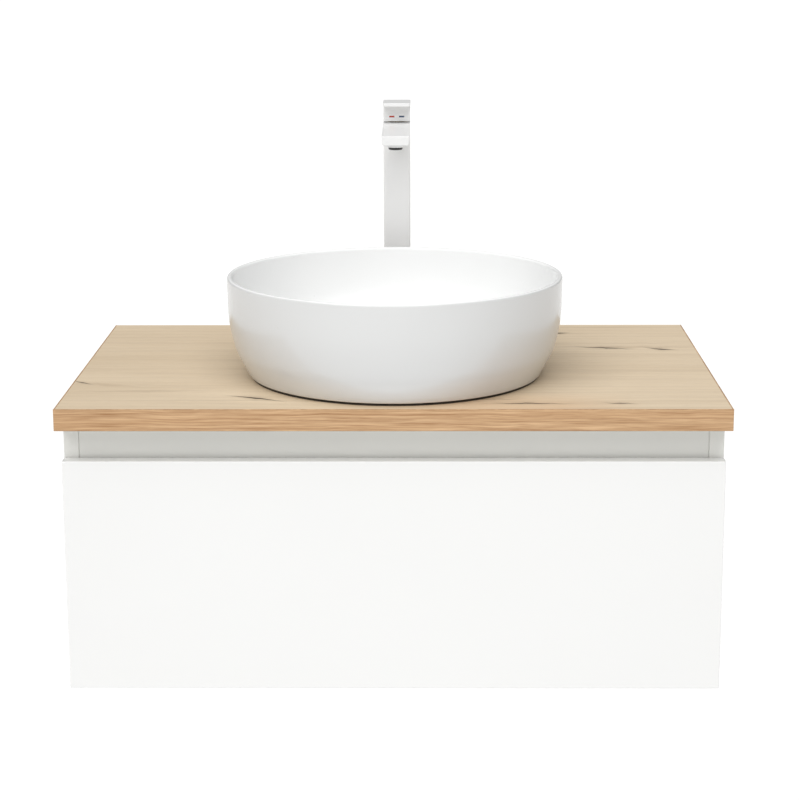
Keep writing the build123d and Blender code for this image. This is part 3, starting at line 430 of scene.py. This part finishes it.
def make_finishes():
    """One node material for each material slot of the record."""
    return {
        "oak_laminate": oak_laminate(),
        "oak_edging": oak_edging(),
        "board_core": board_core(),
        "white_gloss": white_gloss(),
        "white_melamine": white_melamine(),
        "ceramic_white": ceramic_white(),
        # silicone: near black, much darker than the real seal, as painted shadow of the gap under the
        # basin's foot
        "silicone": moulding("silicone", (0.020, 0.016, 0.012), (0.036, 0.029, 0.023), 0.30, 0.45),
        "tap_white": tap_white(),
        "black_plastic": moulding("black_plastic", (0.012, 0.012, 0.013), (0.022, 0.022, 0.023), 0.38, 0.55),
        "white_plastic": moulding("white_plastic", (0.76, 0.76, 0.74), (0.82, 0.82, 0.80), 0.22, 0.36),
        "grey_plastic": moulding("grey_plastic", (0.17, 0.175, 0.18), (0.23, 0.235, 0.24), 0.40, 0.55),
        "chrome": metal("chrome", (0.74, 0.74, 0.76), (0.84, 0.84, 0.86), 0.05, 0.13, 0.00001),
        "zinc_steel": metal("zinc_steel", (0.46, 0.47, 0.49), (0.62, 0.62, 0.61), 0.26, 0.42, 0.00003, 260),
        "brass": metal("brass", (0.62, 0.44, 0.20), (0.78, 0.58, 0.29), 0.20, 0.34, 0.00003),
        "rubber_black": moulding("rubber_black", (0.018, 0.018, 0.018), (0.034, 0.033, 0.032), 0.55, 0.75),
        "disc_ceramic": moulding("disc_ceramic", (0.70, 0.68, 0.62), (0.80, 0.78, 0.73), 0.10, 0.20, 400),
        "beech": beech(),
        "hot_red": moulding("hot_red", (0.40, 0.035, 0.020), (0.50, 0.05, 0.03), 0.15, 0.25),
        "cold_blue": moulding("cold_blue", (0.030, 0.050, 0.110), (0.045, 0.075, 0.16), 0.15, 0.25),
    }


def dress(obj, material):
    """Puts one material on every slot of an object."""
    if not obj.material_slots:
        obj.data.materials.append(material)
    for slot in obj.material_slots:
        slot.material = material


# ---------------------------------------------------------------- stage and light
FLOOR_DROP = 1.25
FLOOR_REACH = 60.0
SKY_STRENGTH = 0.36
BACKDROP_STRENGTH = 1.05
SUN_SPREAD = math.radians(70)
SUN_POWER = 2.8
SUN_AIM = Vector((0.15, 0.60, -1.0))
BOX_PLACE = (-0.06, -1.45, 0.10)
BOX_TARGET = (0.0, -0.485, -0.12)
BOX_POWER = 0.8
BOX_SIZE = 0.5


def make_stage():
    """A wide pale floor, so low that the unit's shadow on it falls below the photograph's view."""
    mesh = bpy.data.meshes.new("floor")
    r = FLOOR_REACH
    corners = [(-r, -r, -FLOOR_DROP), (r, -r, -FLOOR_DROP), (r, r, -FLOOR_DROP), (-r, r, -FLOOR_DROP)]
    mesh.from_pydata(corners, [], [(0, 1, 2, 3)])
    floor = bpy.data.objects.new("floor", mesh)
    SCENE.collection.objects.link(floor)
    f = Finish("floor", Specular_IOR_Level=0.0, Roughness=0.9)
    drift = f.noise(f.stretched(0.5, 0.5, 0.5), 2)
    f.colour(f.blend(drift, (0.955, 0.955, 0.95), (0.970, 0.970, 0.965)))
    dress(floor, f.material)


def make_light():
    """A white backdrop, an even sky, a broad sun from the upper front left and a weak soft box in front."""
    world = bpy.data.worlds.new("studio")
    SCENE.world = world
    world.use_nodes = True
    tree = world.node_tree
    glow = tree.nodes["Background"]
    glow.inputs["Color"].default_value = (1.0, 1.0, 0.995, 1)
    glow.inputs["Strength"].default_value = SKY_STRENGTH
    white = tree.nodes.new("ShaderNodeBackground")
    white.inputs["Color"].default_value = (1.0, 1.0, 0.99, 1)
    white.inputs["Strength"].default_value = BACKDROP_STRENGTH
    path = tree.nodes.new("ShaderNodeLightPath")
    mix = tree.nodes.new("ShaderNodeMixShader")
    tree.links.new(path.outputs["Is Camera Ray"], mix.inputs[0])
    tree.links.new(glow.outputs[0], mix.inputs[1])
    tree.links.new(white.outputs[0], mix.inputs[2])
    tree.links.new(mix.outputs[0], tree.nodes["World Output"].inputs["Surface"])
    sun = bpy.data.lights.new("key", "SUN")
    sun.angle = SUN_SPREAD
    sun.energy = SUN_POWER
    key = bpy.data.objects.new("key", sun)
    SCENE.collection.objects.link(key)
    key.rotation_mode = "QUATERNION"
    key.rotation_quaternion = SUN_AIM.to_track_quat("-Z", "Y")
    place_light("front_box", BOX_PLACE, BOX_TARGET, BOX_POWER, BOX_SIZE)


def place_light(name, place, target, power, size):
    """A square soft box at a place, aimed at a point of the object, that no camera or mirror sees."""
    data = bpy.data.lights.new(name, "AREA")
    data.energy = power
    data.size = size
    lamp = bpy.data.objects.new(name, data)
    SCENE.collection.objects.link(lamp)
    lamp.location = place
    lamp.rotation_mode = "QUATERNION"
    lamp.rotation_quaternion = (Vector(target) - Vector(place)).to_track_quat("-Z", "Y")
    lamp.visible_camera = False
    lamp.visible_glossy = False


# ---------------------------------------------------------------- turned basin
TURN_STEPS = 288
SHARP_ANGLE = math.radians(40)
MM = 1000
# the bowl's profile as (radius, height above the seal's foot) in mm
OUTER_TOP = (209.4, 88)
OUTER_MIDDLE = (202, 41)
OUTER_FOOT = (185.7, 6.6)
FOOT_CENTRE = (180.6, 7.9)
FOOT_RADIUS = 5.2
UNDERSIDE = [(168, 2.0), (166, 4.5), (150, 4.6), (22.5, 4.6)]
DRAIN_SEAT = [(22.5, 16), (33.5, 16), (33.5, 20)]
FLOOR_EDGE = (150, 27)
INNER_MIDDLE = (191, 53)
INNER_TOP = (203.5, 112)
RIM_CENTRE = (206.75, 123.75)
RIM_RADIUS = 3.25
# how many points each stretch of the profile gets
OUTER_STEPS = 16
FOOT_STEPS = 10
FLOOR_STEPS = 14
LOWER_WALL_STEPS = 12
UPPER_WALL_STEPS = 14
RIM_STEPS = 20
# the first and last angle of the foot's and the rim's arc, in degrees
FOOT_ANGLES = (-15, -90)
RIM_ANGLES = (180, 0)
# the way the profile runs at its named points
STRAIGHT_DOWN = (-0.02, -1)
TUCKING_IN = (-0.27, -0.96)
INTO_FOOT = (-0.42, -0.91)
FLOOR_START_WAY = (1, 0.03)
FLOOR_END_WAY = (1, 0.10)
WALL_WAY = (0.62, 0.78)
STRAIGHT_UP = (0.02, 1)


def hermite(start, start_way, end, end_way, steps):
    """Points of a smooth curve between two ends with given directions, the start left out."""
    reach = math.dist(start, end)
    points = []
    for i in range(1, steps + 1):
        t = i / steps
        a, b, c, d = 2 * t**3 - 3 * t**2 + 1, t**3 - 2 * t**2 + t, -2 * t**3 + 3 * t**2, t**3 - t**2
        points.append(tuple(
            a * start[k] + b * reach * start_way[k] + c * end[k] + d * reach * end_way[k] for k in (0, 1)
        ))
    return points


def arc(centre, radius, first, last, steps):
    """Points of an arc in the profile plane, between two angles in degrees, both ends kept."""
    points = []
    for i in range(steps + 1):
        angle = math.radians(first + (last - first) * i / steps)
        points.append((centre[0] + radius * math.cos(angle), centre[1] + radius * math.sin(angle)))
    return points


def turned(name, profile, centre_y, base_z):
    """A solid of revolution about an upright axis, from a closed profile of (radius, height) in mm."""
    count = len(profile)
    vertices, faces = [], []
    for step in range(TURN_STEPS):
        angle = 2 * math.pi * step / TURN_STEPS
        for radius, height in profile:
            r = radius / MM
            vertices.append((r * math.sin(angle), centre_y - r * math.cos(angle), base_z + height / MM))
    for step in range(TURN_STEPS):
        after = (step + 1) % TURN_STEPS
        for i in range(count):
            j = (i + 1) % count
            faces.append((step * count + i, after * count + i, after * count + j, step * count + j))
    mesh = bpy.data.meshes.new(name)
    mesh.from_pydata(vertices, [], faces)
    mesh.update()
    mesh.shade_smooth()
    mesh.set_sharp_from_angle(angle=SHARP_ANGLE)
    piece = bpy.data.objects.new(name, mesh)
    SCENE.collection.objects.link(piece)
    return piece


def make_basin():
    """The glazed bowl: a soft rim, a wall that tucks in to a small rounded foot, and a dished floor."""
    outer = [OUTER_TOP]
    outer += hermite(OUTER_TOP, STRAIGHT_DOWN, OUTER_MIDDLE, TUCKING_IN, OUTER_STEPS)
    outer += hermite(OUTER_MIDDLE, TUCKING_IN, OUTER_FOOT, INTO_FOOT, OUTER_STEPS)
    foot = arc(FOOT_CENTRE, FOOT_RADIUS, *FOOT_ANGLES, FOOT_STEPS)
    floor = hermite(DRAIN_SEAT[-1], FLOOR_START_WAY, FLOOR_EDGE, FLOOR_END_WAY, FLOOR_STEPS)
    wall = hermite(FLOOR_EDGE, FLOOR_END_WAY, INNER_MIDDLE, WALL_WAY, LOWER_WALL_STEPS)
    wall += hermite(INNER_MIDDLE, WALL_WAY, INNER_TOP, STRAIGHT_UP, UPPER_WALL_STEPS)
    rim = arc(RIM_CENTRE, RIM_RADIUS, *RIM_ANGLES, RIM_STEPS)
    profile = outer + foot + UNDERSIDE + DRAIN_SEAT + floor + wall + rim
    piece = turned("basin_bowl_glazed", profile, BASIN_AXIS_Y, BASIN_FOOT_Z)
    dress(piece, FINISH["ceramic_white"].material)
    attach(piece, "root")
    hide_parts("basin_bowl")


make_camera()
FINISH = make_finishes()
for node, slot in SLOT_OF_NODE.items():
    dress(NODES[node], FINISH[slot].material)
make_basin()
make_stage()
make_light()
SCENE.view_settings.view_transform = "Standard"
